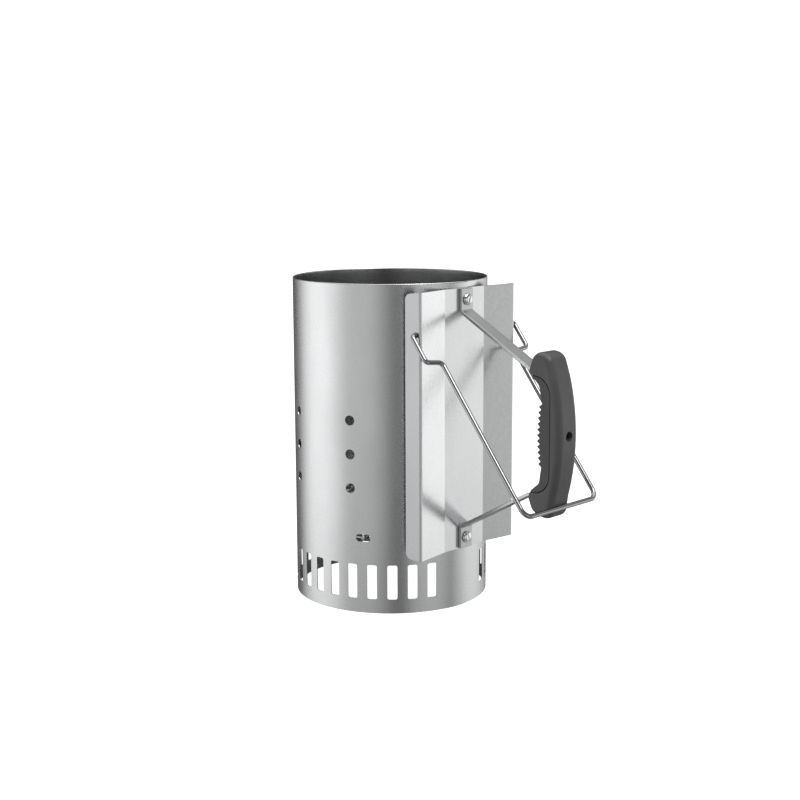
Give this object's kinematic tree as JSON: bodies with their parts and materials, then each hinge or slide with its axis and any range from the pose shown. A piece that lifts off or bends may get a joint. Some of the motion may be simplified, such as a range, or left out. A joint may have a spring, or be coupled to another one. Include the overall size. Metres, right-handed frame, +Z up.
{
  "type": "chimney charcoal starter",
  "caption": "Vented steel cylinder on a wire grate, with a bent heat shield, a moulded grip on a bent strap and a folding wire bail.",
  "frame": {"origin": "middle of the assembly's footprint, on the surface that the cylinder's bottom edge stands on", "axes": "+X runs from the cylinder's axis through the heat shield to the grip, +Z up along the cylinder, +Y across the shield"},
  "size_m": [0.3164, 0.1906, 0.3132],
  "materials": {
    "body_steel": "aluminised sheet steel with a fine mottled satin grain, softly blurred reflections and a folded top edge",
    "shield_steel": "satin sheet steel with fine diagonal grain, plain middle panel",
    "strap_steel": "zinc-plated steel strip with a dull sheen and darker cut edges",
    "bail_steel": "bright plated round wire",
    "grate_steel": "plated steel wire with a dull sheen",
    "zinc_hardware": "bright zinc-plated screws, nuts and washers",
    "blackened_screw": "black oxide screw head deep in its counterbore",
    "grip_plastic": "dark grey glass-filled plastic with a fine moulded texture",
    "grip_insert_plastic": "dark grey moulded plastic with finger ridges"
  },
  "bodies": {
    "root": {"cylinder_body": "body_steel", "heat_shield": "shield_steel", "handle_strap": "strap_steel", "handle_outer_shell": "grip_plastic", "handle_grip_insert": "grip_insert_plastic", "handle_screw": "blackened_screw", "handle_nut": "zinc_hardware", "strap_screw_upper": "zinc_hardware", "strap_screw_lower": "zinc_hardware", "strap_washer_upper": "zinc_hardware", "strap_washer_lower": "zinc_hardware", "strap_nut_upper": "zinc_hardware", "strap_nut_lower": "zinc_hardware", "grate_base_ring": "grate_steel", "grate_lower_ring": "grate_steel", "grate_upper_ring": "grate_steel", "grate_crown_ring": "grate_steel", "grate_spoke_01": "grate_steel", "grate_spoke_02": "grate_steel", "grate_spoke_03": "grate_steel", "grate_spoke_04": "grate_steel", "grate_spoke_05": "grate_steel", "grate_spoke_06": "grate_steel", "grate_spoke_07": "grate_steel", "grate_spoke_08": "grate_steel", "grate_spoke_09": "grate_steel", "grate_spoke_10": "grate_steel", "grate_spoke_11": "grate_steel", "grate_spoke_12": "grate_steel"},
    "bail": {"bail_wire": "bail_steel"}
  },
  "joints": [
    {"name": "bail_swing", "type": "hinge", "parent": "root", "child": "bail", "pos_m": [0.03422, 0, 0.2686], "axis": [0, -1, 0], "range_deg": [0, 122]}
  ]
}
